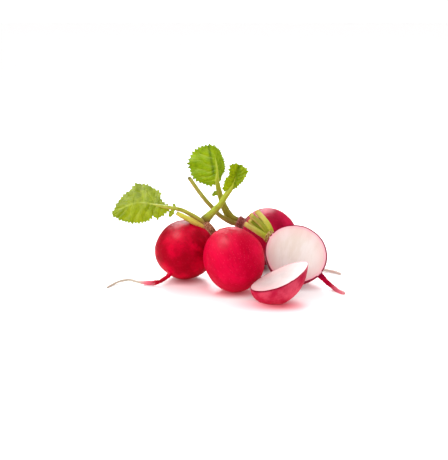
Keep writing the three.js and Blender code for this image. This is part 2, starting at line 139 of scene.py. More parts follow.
class Heap:
    # Gathers nets of points into one mesh, with their values and their finish.
    def __init__(self):
        self.places, self.faces, self.finish, self.values, self.count = [], [], [], {}, 0

    def net(self, places, finish=0, closed=False, **values):
        rows, columns = places.shape[:2]
        faces = netFaces(rows, columns, self.count, closed)
        self.loose(places.reshape(-1, 3), faces, finish, **values)

    def loose(self, places, faces, finish=0, **values):
        self.places.append(places)
        self.faces.append(faces)
        self.finish.append(np.full(len(faces), finish))
        for name, value in values.items():
            flat = np.asarray(value, float).reshape(len(places), -1)
            self.values.setdefault(name, []).append((self.count, flat))
        self.count += len(places)

    def piece(self, name, paints, sharp=None):
        # Makes the mesh and its values, welds seams and poles, and turns faces outwards.
        places = (np.concatenate(self.places) - baseMiddle) * millimetre
        mesh = bpy.data.meshes.new(name)
        mesh.from_pydata(places.tolist(), [], np.concatenate(self.faces).tolist())
        for paint in paints:
            mesh.materials.append(paint)
        mesh.polygons.foreach_set("material_index", np.concatenate(self.finish).astype(np.int32))
        for key, parts in self.values.items():
            flat = np.zeros((self.count, parts[0][1].shape[1]), np.float32)  # 0 where not given
            for start, part in parts:
                flat[start:start + len(part)] = part
            wide = flat.shape[1] == 3
            made = mesh.attributes.new(key, "FLOAT_VECTOR" if wide else "FLOAT", "POINT")
            made.data.foreach_set("vector" if wide else "value", flat.ravel())
        work = bmesh.new()
        work.from_mesh(mesh)
        bmesh.ops.remove_doubles(work, verts=work.verts, dist=weldDistance)
        bmesh.ops.dissolve_degenerate(work, edges=work.edges, dist=weldDistance)
        bmesh.ops.recalc_face_normals(work, faces=work.faces)
        work.to_mesh(mesh)
        work.free()
        mesh.shade_smooth()
        if sharp is not None:
            mesh.set_sharp_from_angle(angle=math.radians(sharp))
        return linked(name, mesh)


def plain(angle, share):
    # A round profile, the same all along.
    return 1.0


def tube(heap, path, side, sides, steps, dome=0.6, shape=plain, **values):
    # Profile carried along a path of x, y, z, radius: a ring of sides points at each step,
    # closed by a small dome at both ends. shape(angle, share) scales the radius; below is 1
    # where the skin faces down and 0 where it faces up.
    line = Line(path)
    tilt = np.radians([90, 80, 60, 40, 20])  # of the dome's rings, from the pole
    d = np.pad(np.linspace(0, line.length, steps), len(tilt), "edge")
    r = np.interp(d, line.stations, [p[3] for p in path])
    push = np.concatenate([-np.sin(tilt), np.zeros(steps), np.sin(tilt[::-1])])
    draw = np.concatenate([np.cos(tilt), np.ones(steps), np.cos(tilt[::-1])])
    angle = np.linspace(0, 2 * np.pi, sides, endpoint=False)[None, :]
    centre, across, over = line.frameAt(d, np.asarray(side, float))
    along = np.cross(across, over)
    share = (d / line.length)[:, None]
    size = (r * draw)[:, None] * shape(angle, share)
    x, y = size * np.cos(angle), size * np.sin(angle)
    places = (centre + along * (push * r * dome)[:, None])[:, None]
    places = places + across[:, None] * x[..., None] + over[:, None] * y[..., None]
    below = 0.5 - 0.5 * (across[:, 2:] * np.cos(angle) + over[:, 2:] * np.sin(angle))
    values = {"run": share, "below": below, **values}
    values = {name: np.broadcast_to(value, x.shape) for name, value in values.items()}
    grain = np.stack([np.broadcast_to(d[:, None], x.shape), x, y], axis=-1)
    heap.net(places, closed=True, grain=grain, **values)


def tint(red, green, blue):
    # A screen colour, 0 to 255, as the linear one that shaders take.
    c = np.array([red, green, blue]) / 255
    lin = np.where(c <= 0.04045, c / 12.92, ((c + 0.055) / 1.055)**2.4)
    return (*(float(v) for v in lin), 1.0)


class Wire:
    # A shader socket that adds, multiplies and so on; every step adds its Math node.
    def __init__(self, paint, socket):
        self.paint = paint
        self.socket = socket

    def math(self, operation, first, second=0.0):
        return self.paint.add("ShaderNodeMath", {"operation": operation}, {0: first, 1: second})

    def __add__(self, other):
        return self.math("ADD", self, other)

    __radd__ = __add__

    def __sub__(self, other):
        return self.math("SUBTRACT", self, other)

    def __rsub__(self, other):
        return self.math("SUBTRACT", other, self)

    def __mul__(self, other):
        return self.math("MULTIPLY", self, other)

    __rmul__ = __mul__

    def rise(self, low, high, first=0.0, last=1.0):
        # S-shaped step from low to high, as in the shapes.
        sockets = {0: self, 1: low, 2: high, 3: first, 4: last}
        return self.paint.add("ShaderNodeMapRange", {"interpolation_type": "SMOOTHSTEP"}, sockets)

    def vector(self, operation, *other, output="Vector"):
        # A step of vector maths, with three numbers where it takes a second vector.
        sockets = {0: self, 1: other} if other else {0: self}
        return self.paint.add("ShaderNodeVectorMath", {"operation": operation}, sockets, output)


class Paint:
    # One material, or the room's light, and its nodes.
    def __init__(self, name, kind="materials"):
        self.made = getattr(bpy.data, kind).new(name)
        self.made.use_nodes = True
        self.tree = self.made.node_tree
        self.tree.nodes.clear()

    def add(self, kind, settings=None, sockets=None, output=0):
        # A node: its settings first, then the values or links of its sockets.
        node = self.tree.nodes.new(kind)
        for name, value in (settings or {}).items():
            setattr(node, name, value)
        for name, value in (sockets or {}).items():
            if isinstance(value, Wire):
                self.tree.links.new(value.socket, node.inputs[name])
            else:
                node.inputs[name].default_value = value
        return Wire(self, node.outputs[output]) if len(node.outputs) else node

    def value(self, name, output="Fac"):
        return self.add("ShaderNodeAttribute", {"attribute_name": name}, output=output)

    def cloud(self, place, scale, detail=3.0, rough=0.6):
        sockets = {"Vector": place, "Scale": scale, "Detail": detail, "Roughness": rough}
        return self.add("ShaderNodeTexNoise", {}, sockets)

    def streaks(self, grain, along, across, detail=4.0):
        # Clouds drawn out along the piece: a low scale along it and a high one across.
        return self.cloud(grain.vector("MULTIPLY", along, across, across), 1.0, detail)

    def cells(self, place, scale, feature="F1"):
        sockets = {"Vector": place, "Scale": scale}
        return self.add("ShaderNodeTexVoronoi", {"feature": feature}, sockets)

    def blend(self, first, second, share):
        # Mixes two colours, each a wire or the screen colour that a look gives.
        first, second = (c if isinstance(c, Wire) else tint(*c) for c in (first, second))
        sockets = {0: share, 6: first, 7: second}
        return self.add("ShaderNodeMix", {"data_type": "RGBA"}, sockets, output=2)

    def layers(self, look, tone, **shares):
        # Lays each named colour of the look over the tone, in turn, by its share.
        for name, share in shares.items():
            tone = self.blend(tone, look[name], share)
        return tone

    def finish(self, sockets):
        shader = self.add("ShaderNodeBsdfPrincipled", {}, sockets)
        self.add("ShaderNodeOutputMaterial", {}, {"Surface": shader})
        return self.made

    def tissue(self, look, tone, rough, height):
        # Plant tissue: a little gloss, a bump of that height, and light that sinks in.
        sockets = {"Height": height, "Distance": look["bumpDepth"] * millimetre, "Strength": 1.0}
        bump = self.add("ShaderNodeBump", {}, sockets)
        share, reach, depth = look["sinking"]
        return self.finish({
            "Base Color": tone, "Roughness": rough, "Normal": bump,
            "Specular IOR Level": look["gloss"], "Subsurface Weight": share,
            "Subsurface Radius": reach, "Subsurface Scale": depth * millimetre})


camera = {
    "lookedAt": (0.0, 0.0, 20.0),  # millimetres on the drawing's axes
    "distance": 360.0,
    "elevation": 16.0,
    "lens": 58.0,
    "film": 36.0,                  # along the image's taller side
}

target = (np.array(camera["lookedAt"]) - baseMiddle) * millimetre
pitch = math.radians(camera["elevation"])
away = np.array([0.0, math.cos(pitch), -math.sin(pitch)]) * camera["distance"] * millimetre
lensData = bpy.data.cameras.new("camera")
lensData.sensor_fit = "VERTICAL"
lensData.sensor_height = camera["film"]
lensData.lens = camera["lens"]
lensData.clip_start = 0.01
lensData.clip_end = 200.0
cameraObject = linked("camera", lensData)
cameraObject.location = target - away
cameraObject.rotation_euler = (math.radians(90) - pitch, 0.0, 0.0)
bpy.context.scene.camera = cameraObject
bpy.context.scene.view_settings.view_transform = "Standard"

light = {                          # places in metres, from the middle of the bunch's base
    "room": {"dark": 1.0, "bright": 1.35, "toward": (-0.25, 0.75, 0.6), "low": -0.7, "high": 0.3},
    "key": {"power": 1.3, "size": 0.36, "place": (-0.52, -0.22, 0.3), "glints": False},
    "glint": {"power": 26.0, "size": 0.2, "place": (-0.34, -0.02, 0.61), "lights": False},
    "sheen": {"power": 24.0, "size": 0.5, "place": (-0.1, 0.62, 0.5), "lights": False},
    "facing": (0.0, 0.0, 0.015),
}


def litRoom(settings):
    # White light from all round, stronger from above and behind: a soft step in the angle
    # between a direction and the brightest one. It isn't mirrored, which keeps the reds deep.
    room = Paint("room", "worlds")
    way = room.add("ShaderNodeTexCoord", output="Generated")
    turn = way.vector("DOT_PRODUCT", *unit(settings["toward"]).tolist(), output="Value")
    strength = turn.rise(*(settings[key] for key in ("low", "high", "dark", "bright")))
    sockets = {"Color": (1.0, 1.0, 1.0, 1.0), "Strength": strength}
    sky = room.add("ShaderNodeBackground", {}, sockets)
    room.add("ShaderNodeOutputWorld", {}, {"Surface": sky})
    room.made.cycles_visibility.glossy = False
    bpy.context.scene.world = room.made


litRoom(light["room"])


def softBox(name, settings):
    # A square lamp that faces the bunch. Some only light it and some only glint on it.
    lamp = bpy.data.lights.new(name, "AREA")
    lamp.energy = settings["power"]
    lamp.size = settings["size"]
    box = linked(name, lamp)
    box.location = settings["place"]
    down = np.array(light["facing"]) - np.array(settings["place"])
    turn = math.atan2(down[1], down[0]) - math.pi / 2
    tip = math.atan2(-down[2], math.hypot(down[0], down[1]))
    box.rotation_euler = (math.pi / 2 - tip, 0.0, turn)
    box.visible_diffuse = settings.get("lights", True)
    box.visible_glossy = settings.get("glints", True)


for name in ("key", "glint", "sheen"):
    softBox(name + "Light", light[name])

tableLook = {
    "across": 40.0,                # metres, so that its edge is past the horizon
    # glow is the table's own emission: it glows, though it is no lamp, and lifts its shadows
    "dull": (226, 225, 225), "clean": (230, 229, 229), "glow": 0.3,
    # Painted shadow under and between the roots, and painted red light bounced from them: x, y,
    # reach along x and y (mm), share, colour.
    "paintedShadowAndBounceSpots": [[18.0, 16.0, 7.0, 16.0, 1.0, (96, 0, 18)],
                 [19.3, -33.0, 24.0, 12.0, 0.7, (236, 120, 140)],
                 [-15.0, -10.0, 30.0, 17.0, 0.35, (240, 120, 140)],
                 [-2.0, -12.0, 14.0, 14.0, 0.45, (240, 120, 140)],
                 [4.0, -18.0, 20.0, 10.0, 0.5, (240, 120, 140)],
                 [-19.4, -1.0, 13.0, 10.0, 0.85, (180, 20, 50)],
                 [3.5, -17.0, 14.0, 10.0, 0.8, (190, 30, 60)],
                 [23.0, -33.5, 14.0, 8.0, 0.7, (190, 30, 60)]],
}


def tableFinish(look):
    # White with a trace of unevenness, with painted shadow and painted red bounce light in soft
    # ovals where the roots lie.
    paint = Paint("tableWhite")
    place = paint.add("ShaderNodeTexCoord", output="Object")
    tone = paint.blend(look["dull"], look["clean"], paint.cloud(place, 30.0, 2.0, 0.5))
    # each oval lays painted shadow or painted bounce light over the white
    for x, y, wide, deep, share, red in look["paintedShadowAndBounceSpots"]:
        oval = place.vector("SUBTRACT", x * millimetre, y * millimetre, 0.0).vector(
            "MULTIPLY", 1 / (wide * millimetre), 1 / (deep * millimetre), 0.0)
        reach = oval.vector("LENGTH", output="Value").rise(0.0, 1.0)
        tone = paint.blend(tone, red, (1 - reach) * share)
    # the table glows with its own colour, painted spots too, which lifts its shadows
    return paint.finish({"Base Color": tone, "Roughness": 0.5, "Specular IOR Level": 0.5,
                         "Emission Color": tone, "Emission Strength": look["glow"]})


edge = tableLook["across"] / 2
tableMesh = bpy.data.meshes.new("table")
corners = [(-edge, -edge, 0), (edge, -edge, 0), (edge, edge, 0), (-edge, edge, 0)]
tableMesh.from_pydata(corners, [], [(0, 1, 2, 3)])
tableMesh.materials.append(tableFinish(tableLook))
linked("table", tableMesh)
print("camera, light and table set")


def skinFinish(look):
    # Crimson skin: large soft patches, streaks along the root, pale pin-pricks and painted shade
    # near a cut; the crown scars to brown bark and the tail fades through pink to dry straw.
    paint = Paint(look["name"])
    grain = paint.value("grain", "Vector")
    patches = paint.cloud(grain, 0.12, rough=0.55)
    streaks = paint.streaks(grain, 0.16, 1.5)
    pricks = 1 - paint.cells(grain, look["prickScale"]).rise(0.02, 0.3)
    pits = paint.cloud(grain, 2.2)
    tone = paint.blend(look["deep"], look["bright"], patches.rise(0.36, 0.66))
    pale = paint.value("pale")
    rubbed = pale + (streaks - 0.5) * 0.35
    # the shade value lays painted shade on the skin near a cut
    tone = paint.layers(look, tone, dark=streaks.rise(0.52, 0.78) * look["streak"],
                        blush=pricks * look["prick"], bruise=paint.value("shade"),
                        tailPink=rubbed.rise(0.08, 0.45), tailStraw=rubbed.rise(0.42, 0.85))
    bark = paint.blend(look["barkDark"], look["barkPale"], pits.rise(0.34, 0.62))
    scar = (paint.value("scar") + (pits - 0.5) * 0.9).rise(0.34, 0.62)
    tone = paint.blend(tone, bark, scar * look["barkShare"])
    height = pits * 0.7 + pricks * 0.5 + streaks * 0.6 + scar * pits * 3.0
    rough = look["rough"] + (patches - 0.5) * 0.12 + scar * 0.35 + pale * 0.2
    return paint.tissue(look, tone, rough, height)


def fleshFinish(look):
    # Wet white flesh: a thin skin line at the rim, a pink stain inside it, a faint ring of
    # vessels and fine threads that run with the root.
    paint = Paint(look["name"])
    grain = paint.value("grain", "Vector")
    rim = paint.value("rim")
    threads = paint.streaks(grain, 0.25, 2.2)
    pulp = paint.cloud(grain, 0.16, rough=0.55)
    cells = paint.cloud(grain, 3.2)
    wavy = rim + (pulp - 0.5) * 0.9
    ring = 1 - (wavy - look["ringAt"]).rise(-0.05, 0.3) - (look["ringAt"] - wavy).rise(-0.05, 0.3)
    tone = paint.blend(look["cream"], look["white"], pulp.rise(0.36, 0.64))
    tone = paint.blend(tone, look["glassy"], threads.rise(0.5, 0.75) * look["thread"])
    tone = paint.layers(look, tone, glassy=ring * 0.4,
                        blush=(1 - wavy.rise(0.5, look["blushWidth"])) * 0.55,
                        stain=(1 - wavy.rise(0.15, look["stainWidth"])) * 0.75,
                        skin=1 - rim.rise(look["skinWidth"] * 0.5, look["skinWidth"]))
    height = cells * 0.6 + threads * 0.6 + pulp * 1.5
    return paint.tissue(look, tone, look["rough"] + cells * 0.12, height)


def stalkFinish(look):
    # Fibrous stalk: streaks along it, a paler groove, a pink or brown foot and cut end.
    paint = Paint(look["name"])
    grain = paint.value("grain", "Vector")
    run = paint.value("run")
    fibres = paint.streaks(grain, 0.12, 2.4)
    blotch = paint.cloud(grain, 0.35, rough=0.55)
    fine = paint.streaks(grain, 0.4, 5.0, 3.0)
    below = paint.value("below")
    inside = (1 - below).rise(0.35, 0.6) * (1 - run.rise(0.86, 0.94))
    flush = (below + (blotch - 0.5) * 0.5).rise(0.35, 0.9)
    foot = 1 - (run + (blotch - 0.5) * 0.1).rise(0.0, look["footLength"])
    end = (run + (fine - 0.5) * 0.015).rise(1 - look["endLength"], 1.0)
    tone = paint.blend(look["lower"], look["upper"], (run + (blotch - 0.5) * 0.5).rise(0.1, 0.8))
    # a hollow stub's upper side takes its green inside and painted shade of the opening
    tone = paint.layers(look, tone, pale=fibres.rise(0.5, 0.72) * 0.55,
                        deep=blotch.rise(0.52, 0.74) * 0.5, hollow=paint.value("hollow") * inside,
                        flush=flush * look["flushShare"], foot=foot * 0.8,
                        end=end * look["endShare"])
    height = fibres * 1.0 + fine * 0.6
    return paint.tissue(look, tone, look["rough"] + fibres * 0.15, height)


def leafFinish(look):
    # Leaf: mottled green, paler veins with a fine net between them, painted shade beside the rib,
    # a yellower margin and a greyer underside.
    paint = Paint(look["name"])
    grain = paint.value("grain", "Vector")
    vein = paint.value("vein")
    mottle = paint.cloud(grain, 0.3)
    broad = paint.cloud(grain, 0.1, 2.0, 0.5)
    net = 1 - paint.cells(grain, 0.9, "DISTANCE_TO_EDGE").rise(0.02, 0.14)
    fine = paint.cloud(grain, 2.4)
    edge = (paint.value("edge") + (fine - 0.5) * 0.05).rise(0.93, 1.0)
    tone = paint.blend(look["deep"], look["bright"], (mottle * 0.5 + broad * 0.5).rise(0.36, 0.64))
    # fold lays painted shade in a band beside the rib
    tone = paint.layers(look, tone, fold=paint.value("shade"), net=net * 0.22,
                        vein=vein * look["veinShare"], margin=edge * 0.5,
                        under=paint.value("under") * 0.6)
    height = fine * 0.5 + mottle * 1.2 - net * 0.5 - vein * 0.6
    return paint.tissue(look, tone, look["rough"] + fine * 0.15, height)


def settled(piece, node):
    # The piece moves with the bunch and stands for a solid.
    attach(piece, "root")
    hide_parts(node)


skinLook = {
    "prickScale": 1.15, "prick": 0.12, "streak": 0.55, "barkShare": 0.95,
    "rough": 0.4, "gloss": 0.02, "bumpDepth": 0.06,
    "sinking": [0.1, (1.0, 0.25, 0.2), 0.8],  # share, reach of each colour, depth in mm
    "deep": (164, 0, 24), "bright": (204, 0, 42), "dark": (116, 0, 24),
    # the second tint on the next line is painted shade for skin near a cut
    "blush": (235, 70, 95), "bruise": (105, 0, 30),
    "tailPink": (222, 104, 122), "tailStraw": (216, 198, 186),
    "barkDark": (112, 62, 46), "barkPale": (210, 154, 120),
}

rootSide = np.array([0.1, -1.0, 0.35])
aroundRoot = 176         # points round a root
capLength = 0.9          # the crown's end is rounded over this length
hairs = 9                # rootlets on a long tail
rings = {                # of a root
    "crown": 10, "tip": 8,              # on its rounded ends
    "ball": 124, "ballTurn": 77,        # on the ball, and their reach each way in degrees
    "collarStep": 0.13, "neckStep": 0.22, "tailStep": 0.3, "gap": 0.1,  # millimetres
}
zones = {                # where each starts and is full, in radii of the ball from its heart
    "ball": (-1.0, -0.93), "shoulder": (-1.0, -0.95), "belly": (-0.9, -0.6), "tail": (0.98, 1.15),
    "flare": (0.85, 0.13),  # where the flare starts, and how fast it dies away
}
plainRoot = {"stretch": [], "scarReach": 1.0, "blunt": 0.5,
             "flare": 2.6}  # extra radius where the ball draws in to its tail

leftRadish = {
    **plainRoot, "name": "leftRadish", "node": "left_root",
    "crown": [-7.0, -6.9, 24.5], "heart": [-18.1, -12.6, 13.9], "neck": [-25.3, -21.6, 4.7],
    "radius": 14.0, "neckRadius": 1.0, "collar": [4.1, 3.2], "seed": 3, "flare": 0.9,
    "tail": [[-27.0, -22.3, 3.4, 0.85], [-29.4, -22.7, 1.9, 0.9], [-32.4, -23.3, 1.3, 1.1],
             [-35.4, -23.0, 1.15, 1.05], [-38.2, -22.1, 1.0, 0.75], [-41.0, -20.9, 1.1, 0.55],
             [-44.0, -19.2, 1.3, 0.6], [-47.4, -19.5, 1.0, 0.6], [-50.6, -22.3, 0.7, 0.55],
             [-53.7, -27.5, 0.45, 0.4]],
    "paleFrom": 18.5, "paleTo": 35.0, "scarReach": 0.99,
    "look": {**skinLook, "name": "leftSkin", "deep": (152, 0, 24), "bright": (197, 0, 42),
             "tailStraw": (188, 174, 158)},
}
frontRadish = {
    **plainRoot, "name": "frontRadish", "node": "front_root",
    "crown": [-0.4, -15.3, 22.1], "heart": [4.8, -28.7, 14.3], "neck": [13.9, -34.0, 5.3],
    "radius": 14.25, "neckRadius": 1.6, "collar": [3.3, 2.1], "seed": 5,
    "tail": [[15.6, -34.7, 3.6, 1.2], [17.2, -34.7, 2.4, 0.9]],
    "stretch": [[[0.58, -0.78, 0.25], 0.935], [[0.62, 0.62, 0.49], 0.975],
                [[-0.53, -0.13, 0.84], 1.033]],
    "paleFrom": 15.0, "paleTo": 24.0, "blunt": 0.9,
    "look": {**skinLook, "name": "frontSkin", "deep": (184, 0, 40), "bright": (208, 5, 54),
             "dark": (148, 0, 36), "prick": 0.35},
}
backRadish = {
    **plainRoot, "name": "backRadish", "node": "back_root",
    "crown": [6.9, 11.1, 20.9], "heart": [21.9, 9.2, 14.0], "neck": [34.8, 6.6, 7.6],
    "radius": 14.2, "neckRadius": 1.7, "collar": [3.3, 3.2], "seed": 8,
    "tail": [[38.4, 4.6, 4.7, 1.3], [43.2, 0.4, 1.7, 0.9], [49.0, -3.9, 0.9, 0.7],
             [52.7, -5.7, 0.75, 0.65], [56.4, -9.0, 0.55, 0.5]],
    "paleFrom": 16.0, "paleTo": 25.0, "scarReach": 0.97,
    "look": {**skinLook, "name": "backSkin", "deep": (154, 6, 44), "bright": (192, 18, 64),
             "dark": (112, 0, 34), "barkPale": (166, 96, 84), "barkDark": (84, 24, 32)},
}
halfRadish = {
    **plainRoot, "name": "halfRadish", "node": "half_root",
    "crown": [20.6, -13.8, 21.4], "heart": [33.0, -20.6, 13.9], "neck": [43.6, -26.8, 6.0],
    "radius": 13.7, "neckRadius": 1.2, "collar": [2.9, 2.1], "seed": 11,
    "tail": [[45.9, -27.2, 3.7, 1.05], [48.1, -28.4, 2.1, 0.95], [50.0, -31.4, 1.2, 0.92],
             [52.5, -34.7, 1.0, 0.9]],
    "stretch": [[[0.8, -0.27, -0.53], 1.05], [[0.98, -0.1, 0.1], 1.02]],
    "paleFrom": 14.0, "paleTo": 40.0, "blunt": 0.6, "flare": 1.0,
    "look": {**skinLook, "name": "halfSkin", "deep": (160, 0, 40), "bright": (205, 6, 56),
             # the first tint on the next line is painted shade for the skin near the cut
             "bruise": (96, 0, 34), "barkPale": (196, 178, 104), "barkDark": (136, 84, 50)},
}


def rootLine(root):
    # One curve from past the end of the collar through the heart and neck to the tail's tip.
    heart = np.array(root["heart"])
    reach = root["radius"] + root["collar"][1] + 1
    crown = heart + unit(np.array(root["crown"]) - heart) * reach
    return Line([crown, heart, root["neck"], *root["tail"]])


def rootRadius(root, line, d):
    # Ball, collar and neck melt into each other: fourth powers added, fourth root taken. The
    # tail's radius steps softly from knot to knot, and dies away from the flare of the neck.
    size = root["radius"]
    ball = size * np.sqrt(np.clip(1 - (d / size)**2, 0, None))
    knots = line.stations[2:] - line.stations[1]
    radii = np.array([root["neckRadius"], *(p[3] for p in root["tail"])])
    i = np.clip(np.searchsorted(knots, d), 1, len(knots) - 1)
    f = rise((d - knots[i - 1]) / (knots[i] - knots[i - 1]), 0, 1)
    tail = radii[i - 1] + (radii[i] - radii[i - 1]) * f
    start, fade = zones["flare"]
    flare = root["flare"] * np.exp(-(d - start * size) / (fade * size))
    other = np.where(d < 0, root["collar"][0], tail + np.minimum(flare, root["flare"]))
    return (ball**4 + other**4)**0.25


def rootStations(root, line):
    # Lengths from the heart: close together on crown and tail, even turns over the ball.
    def rounded(name):
        return 1 - np.cos(np.linspace(0, np.pi / 2, rings[name]))

    size = root["radius"]
    top = -size - root["collar"][1]
    end = line.length - line.stations[1]
    turns = np.radians(np.linspace(-rings["ballTurn"], rings["ballTurn"], rings["ball"]))
    capEnd = top + capLength + rings["gap"]
    tipStart = end - root["blunt"] - rings["gap"]
    return np.unique(np.concatenate([
        top + capLength * rounded("crown"), end - root["blunt"] * rounded("tip"),
        size * np.sin(turns), np.arange(capEnd, -0.975 * size, rings["collarStep"]),
        np.arange(0.98 * size, 1.35 * size, rings["neckStep"]),
        np.arange(1.36 * size, tipStart, rings["tailStep"])]))


relief = {               # height and length of each unevenness, millimetres
    "swell": [0.1, 11.0], "dimple": [0.022, 3.0], "rough": [0.2, 1.5], "grit": [0.1, 0.7],
    "scar": [0.14, 0.85], "wrinkle": [0.05, 1.3], "knot": [0.07, 2.0],
}


def rootSkin(root, line, d, angle):
    # Point of the skin: middle of the curve plus the radius times the ring's direction, with
    # lobes, unevenness, a ridged collar, creases at the shoulder and wrinkles on the tail.
    def uneven(name, shift):
        height, length = relief[name]
        return height * ripple(first, length, root["seed"] + shift)

    def waves(name, places, shift):
        height, length = relief[name]
        return height * np.sin(2 * np.pi * places / length + shift)

    def zone(name):
        low, high = zones[name]
        return rise(d, low * size, high * size)

    size = root["radius"]
    top = -size - root["collar"][1]
    end = line.length - line.stations[1]
    centre, across, over = line.frameAt(d + line.stations[1], rootSide)
    way = across * np.cos(angle)[..., None] + over * np.sin(angle)[..., None]
    lobes = 0.012 * np.cos(2 * angle + size) + 0.008 * np.cos(3 * angle)
    r = rootRadius(root, line, d) * (1 + lobes)
    first = centre + way * r[..., None]
    collar, tail = 1 - zone("ball"), zone("tail")
    shoulder = zone("shoulder") * (1 - zone("belly"))
    swell = uneven("swell", 0) + uneven("dimple", 1)
    rough = uneven("rough", 2) + uneven("grit", 3)
    scars = waves("scar", d - top, 1.6 * np.cos(3 * angle + root["seed"]))
    crease = -0.2 * np.abs(np.cos(3.5 * angle + 0.8 * np.sin(2 * angle)))**10
    wrinkles = waves("wrinkle", d, 1.5 * ripple(first, 4.0, root["seed"] + 4)) + uneven("knot", 5)
    r = r + swell * (1 - collar) * (1 - tail) + collar * (rough + scars) + shoulder * crease
    r = r + tail * np.minimum(r, 1.6) * wrinkles
    nearCrown = np.clip((d - top) / capLength, 0, 1)
    nearTip = np.clip((end - d) / root["blunt"], 0, 1)
    r = r * np.sqrt(1 - (1 - nearCrown)**2) * np.sqrt(1 - (1 - nearTip)**2)
    places = centre + way * r[..., None]
    heart = np.array(root["heart"])
    for direction, factor in root["stretch"]:
        pull = unit(direction)
        places = places + pull * ((factor - 1) * ((places - heart) @ pull))[..., None]
    places[..., 2] = np.maximum(places[..., 2], 0.0)
    grain = np.stack([d, size * np.cos(angle), size * np.sin(angle)], axis=-1)
    shrink = np.clip(r / size, 0.08, 1)[..., None]
    grain = grain * np.concatenate([np.ones_like(shrink), shrink, shrink], axis=-1)
    pale = rise(d, root["paleFrom"], root["paleTo"])
    scar = 1 - rise(d, -root["scarReach"] * size - 0.2, -root["scarReach"] * size + 1.6)
    return places, {"grain": grain, "pale": pale, "scar": scar, "shade": np.zeros_like(d)}


def rootlets(heap, root, line):
    # Hair-thin side roots: short tubes that leave the tail sideways and bend on along it.
    draw = np.random.default_rng(root["seed"])
    start = line.stations[1] + root["radius"] * 1.25
    for d in np.sort(draw.uniform(start, line.length - 1.0, hairs)):
        centre, across, over = line.frameAt(np.array([d]), rootSide)
        turn = draw.uniform(0, 2 * np.pi)
        way = (across * math.cos(turn) + over * math.sin(turn))[0]
        onward = unit(line.at(min(d + 1, line.length)) - line.at(d - 1))
        reach = draw.uniform(1.2, 3.4)
        bend = way * 0.6 + onward * draw.uniform(0.2, 0.9)
        thick = float(rootRadius(root, line, np.array([d - line.stations[1]]))[0])
        foot = centre[0] + way * thick * 0.6
        path = [foot, foot + unit(bend) * reach * 0.5, foot + unit(bend + onward * 0.5) * reach]
        radii = (0.13, 0.08, 0.03)
        path = [[p[0], p[1], max(p[2], 0.12), thin] for p, thin in zip(path, radii)]
        tube(heap, path, (0.1, 0.2, 1.0), 6, 10, pale=1.0)


def wholeRadish(root):
    # A closed net of rings round the curve; only a long tail has rootlets.
    line = rootLine(root)
    d, angle = np.meshgrid(rootStations(root, line),
                           np.linspace(0, 2 * np.pi, aroundRoot, endpoint=False), indexing="ij")
    places, values = rootSkin(root, line, d, angle)
    heap = Heap()
    heap.net(places, closed=True, **values)
    if len(root["tail"]) > 3:
        rootlets(heap, root, line)
    piece = heap.piece(root["name"], [skinFinish(root["look"])])
    settled(piece, root["node"])


for root in (leftRadish, frontRadish, backRadish):
    wholeRadish(root)
print("whole radishes made")


fleshLook = {
    "cream": (222, 208, 197), "white": (231, 220, 215), "glassy": (206, 196, 186),
    "thread": 0.3, "ringAt": 1.5, "stain": (246, 158, 180), "stainWidth": 2.0,
    "blush": (230, 186, 186), "blushWidth": 7.5, "skin": (132, 0, 44), "skinWidth": 0.65,
    "rough": 0.34, "gloss": 0.05, "bumpDepth": 0.05, "sinking": [0.35, (1.0, 0.7, 0.6), 1.5],
}
knife = {
    "normal": [-0.09, -0.861, 0.5],  # faces the viewer and leans back
    "offset": 2.5,                   # in front of the heart
    "reach": 15.4,                   # the cut ends here, towards the tail
    "runOut": 1.6,                   # and leaves the plane over this length
    "turnBack": 5.0,
    "bruise": [[0.9, 0.3, 2.2]],     # share of painted shade on the skin, fading between two depths behind it
    "halvings": 30,                  # steps that close in on the ends of each arc
    "across": 72,                    # points across the cut face
    "tailRings": 40,                 # left out of the direction of the threads
}


def bruised(steps, depth):
    # Shares of painted shade that fade out with the depth behind a cut, added.
    return sum(share * (1 - rise(depth, near, far)) for share, near, far in steps)


def rimDistance(places, rim):
    # Distance in millimetres from each point of the cut to the nearest point of its rim.
    flat = places.reshape(-1, 3)
    near = [np.sqrt(((part[:, None] - rim[None])**2).sum(-1)).min(1) for part in
            np.array_split(flat, 40)]
    return np.concatenate(near).reshape(places.shape[:-1])


def cutPiece(heap, cut, fleshChanges):
    # Skin and flesh in one piece, with a crisp edge between them.
    paints = [skinFinish(cut["look"]), fleshFinish({**fleshLook, **fleshChanges})]
    settled(heap.piece(cut["name"], paints, sharp=38), cut["node"])


